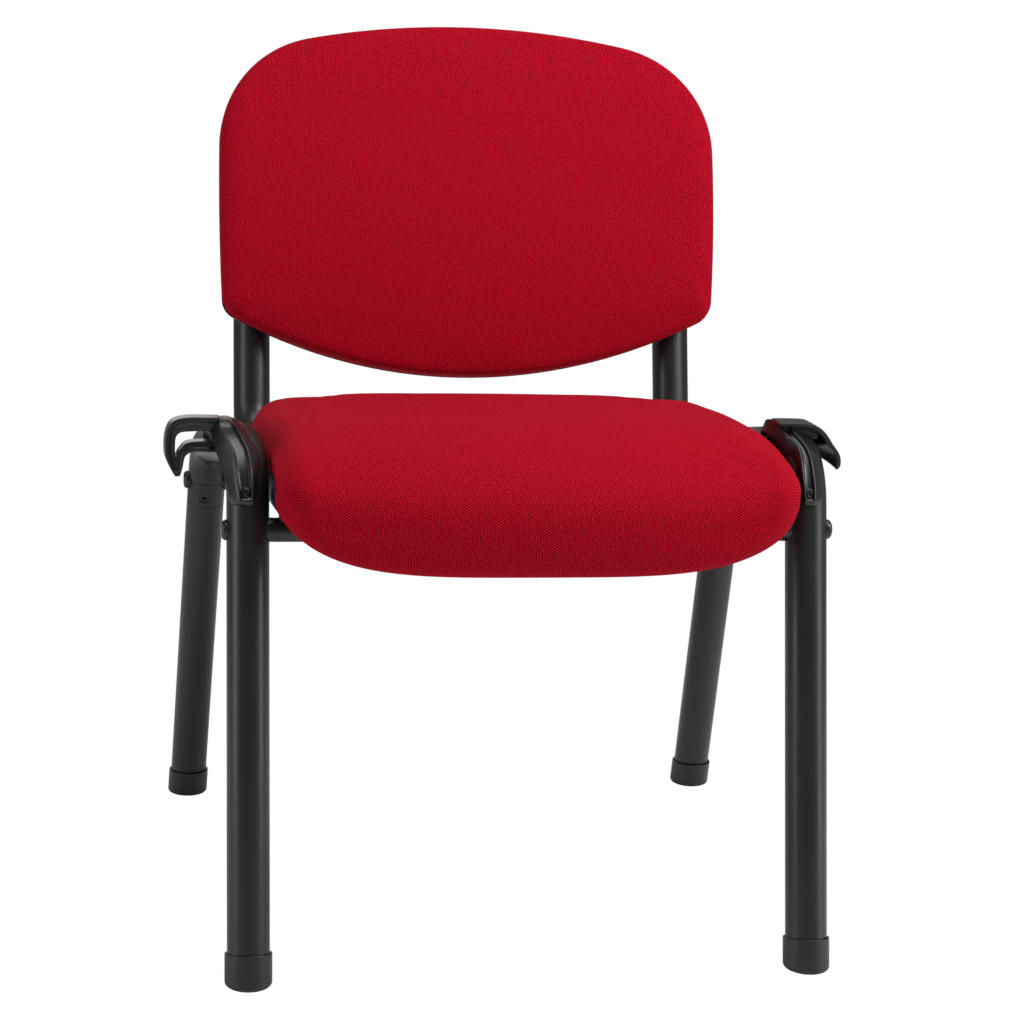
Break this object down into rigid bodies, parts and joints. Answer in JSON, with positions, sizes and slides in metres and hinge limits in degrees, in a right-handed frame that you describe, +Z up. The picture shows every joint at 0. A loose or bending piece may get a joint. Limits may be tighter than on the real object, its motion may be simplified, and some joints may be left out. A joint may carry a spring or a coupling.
{
  "type": "linking chair",
  "caption": "Armless linking chair with red fabric seat and back, black tubular legs, and a moulded loop and hook on its front bends that join it to its neighbours.",
  "frame": {"origin": "on the floor under the middle of the chair's bounding box", "axes": "+Z up, the chair faces -Y, +X is to the right of someone who looks at its front"},
  "size_m": [0.584, 0.5474, 0.7726],
  "materials": {
    "frame_powder_coat": "satin black powder coat",
    "moulded_black_plastic": "fine satin moulding",
    "link_black_plastic": "semi-gloss moulding",
    "zinc_steel": "zinc plated",
    "black_steel": "black plated",
    "red_fabric": "woven hopsack",
    "plywood": "bare beech plywood"
  },
  "bodies": {
    "root": {"back_board": "plywood", "back_cushion": "red_fabric", "back_inserts": "zinc_steel", "back_screws": "zinc_steel", "back_shell": "moulded_black_plastic", "back_spacers": "moulded_black_plastic", "back_tube_front_plugs": "moulded_black_plastic", "back_tube_left": "frame_powder_coat", "back_tube_right": "frame_powder_coat", "back_tube_top_plugs": "moulded_black_plastic", "crossbar_bolts": "black_steel", "crossbar_inserts": "black_steel", "front_crossbar": "frame_powder_coat", "front_foot_cap_left": "moulded_black_plastic", "front_foot_cap_right": "moulded_black_plastic", "leg_coupling_left": "moulded_black_plastic", "leg_coupling_right": "moulded_black_plastic", "leg_coupling_screws": "black_steel", "link_hook_right": "link_black_plastic", "link_loop_left": "link_black_plastic", "link_screws": "black_steel", "rear_crossbar": "frame_powder_coat", "rear_foot_cap_left": "moulded_black_plastic", "rear_foot_cap_right": "moulded_black_plastic", "rear_leg_left": "frame_powder_coat", "rear_leg_right": "frame_powder_coat", "seat_cushion": "red_fabric", "seat_pan": "plywood", "seat_screws": "zinc_steel", "seat_tee_nuts": "zinc_steel", "side_tube_left": "frame_powder_coat", "side_tube_right": "frame_powder_coat"}
  },
  "joints": []
}
